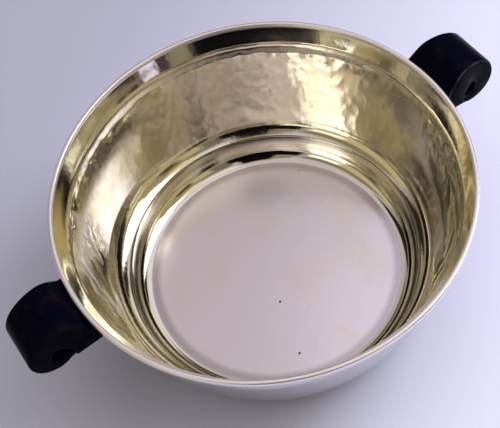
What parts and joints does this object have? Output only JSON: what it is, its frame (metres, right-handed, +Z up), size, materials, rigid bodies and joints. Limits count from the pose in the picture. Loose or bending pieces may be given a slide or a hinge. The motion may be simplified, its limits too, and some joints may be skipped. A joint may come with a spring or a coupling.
{
  "type": "two-handled bowl",
  "caption": "Round hand-hammered silver bowl with a flared collar, a smooth stepped base on a foot ring, and two black scroll handles set under the rim.",
  "frame": {"origin": "centre of the foot ring's underside, on the table", "axes": "+Z up along the bowl's axis, +X along the line through both handles, towards the right handle, +Y away from the viewer"},
  "size_m": [0.197, 0.15, 0.068],
  "materials": {
    "hammered_silver": "silver, hand hammered in small facets and polished bright",
    "satin_silver": "silver, smooth and softly satin from use",
    "plain_silver": "silver, smooth and polished",
    "black_handle": "black, dense and polished, as ebony or an early black moulding"
  },
  "bodies": {
    "root": {"body_wall": "hammered_silver", "base_pan": "satin_silver", "rim_wire": "plain_silver", "foot_ring": "plain_silver", "handle_right": "black_handle", "handle_left": "black_handle", "saddle_right": "plain_silver", "saddle_left": "plain_silver", "peg_right_near": "plain_silver", "peg_right_far": "plain_silver", "peg_left_near": "plain_silver", "peg_left_far": "plain_silver"}
  },
  "joints": []
}
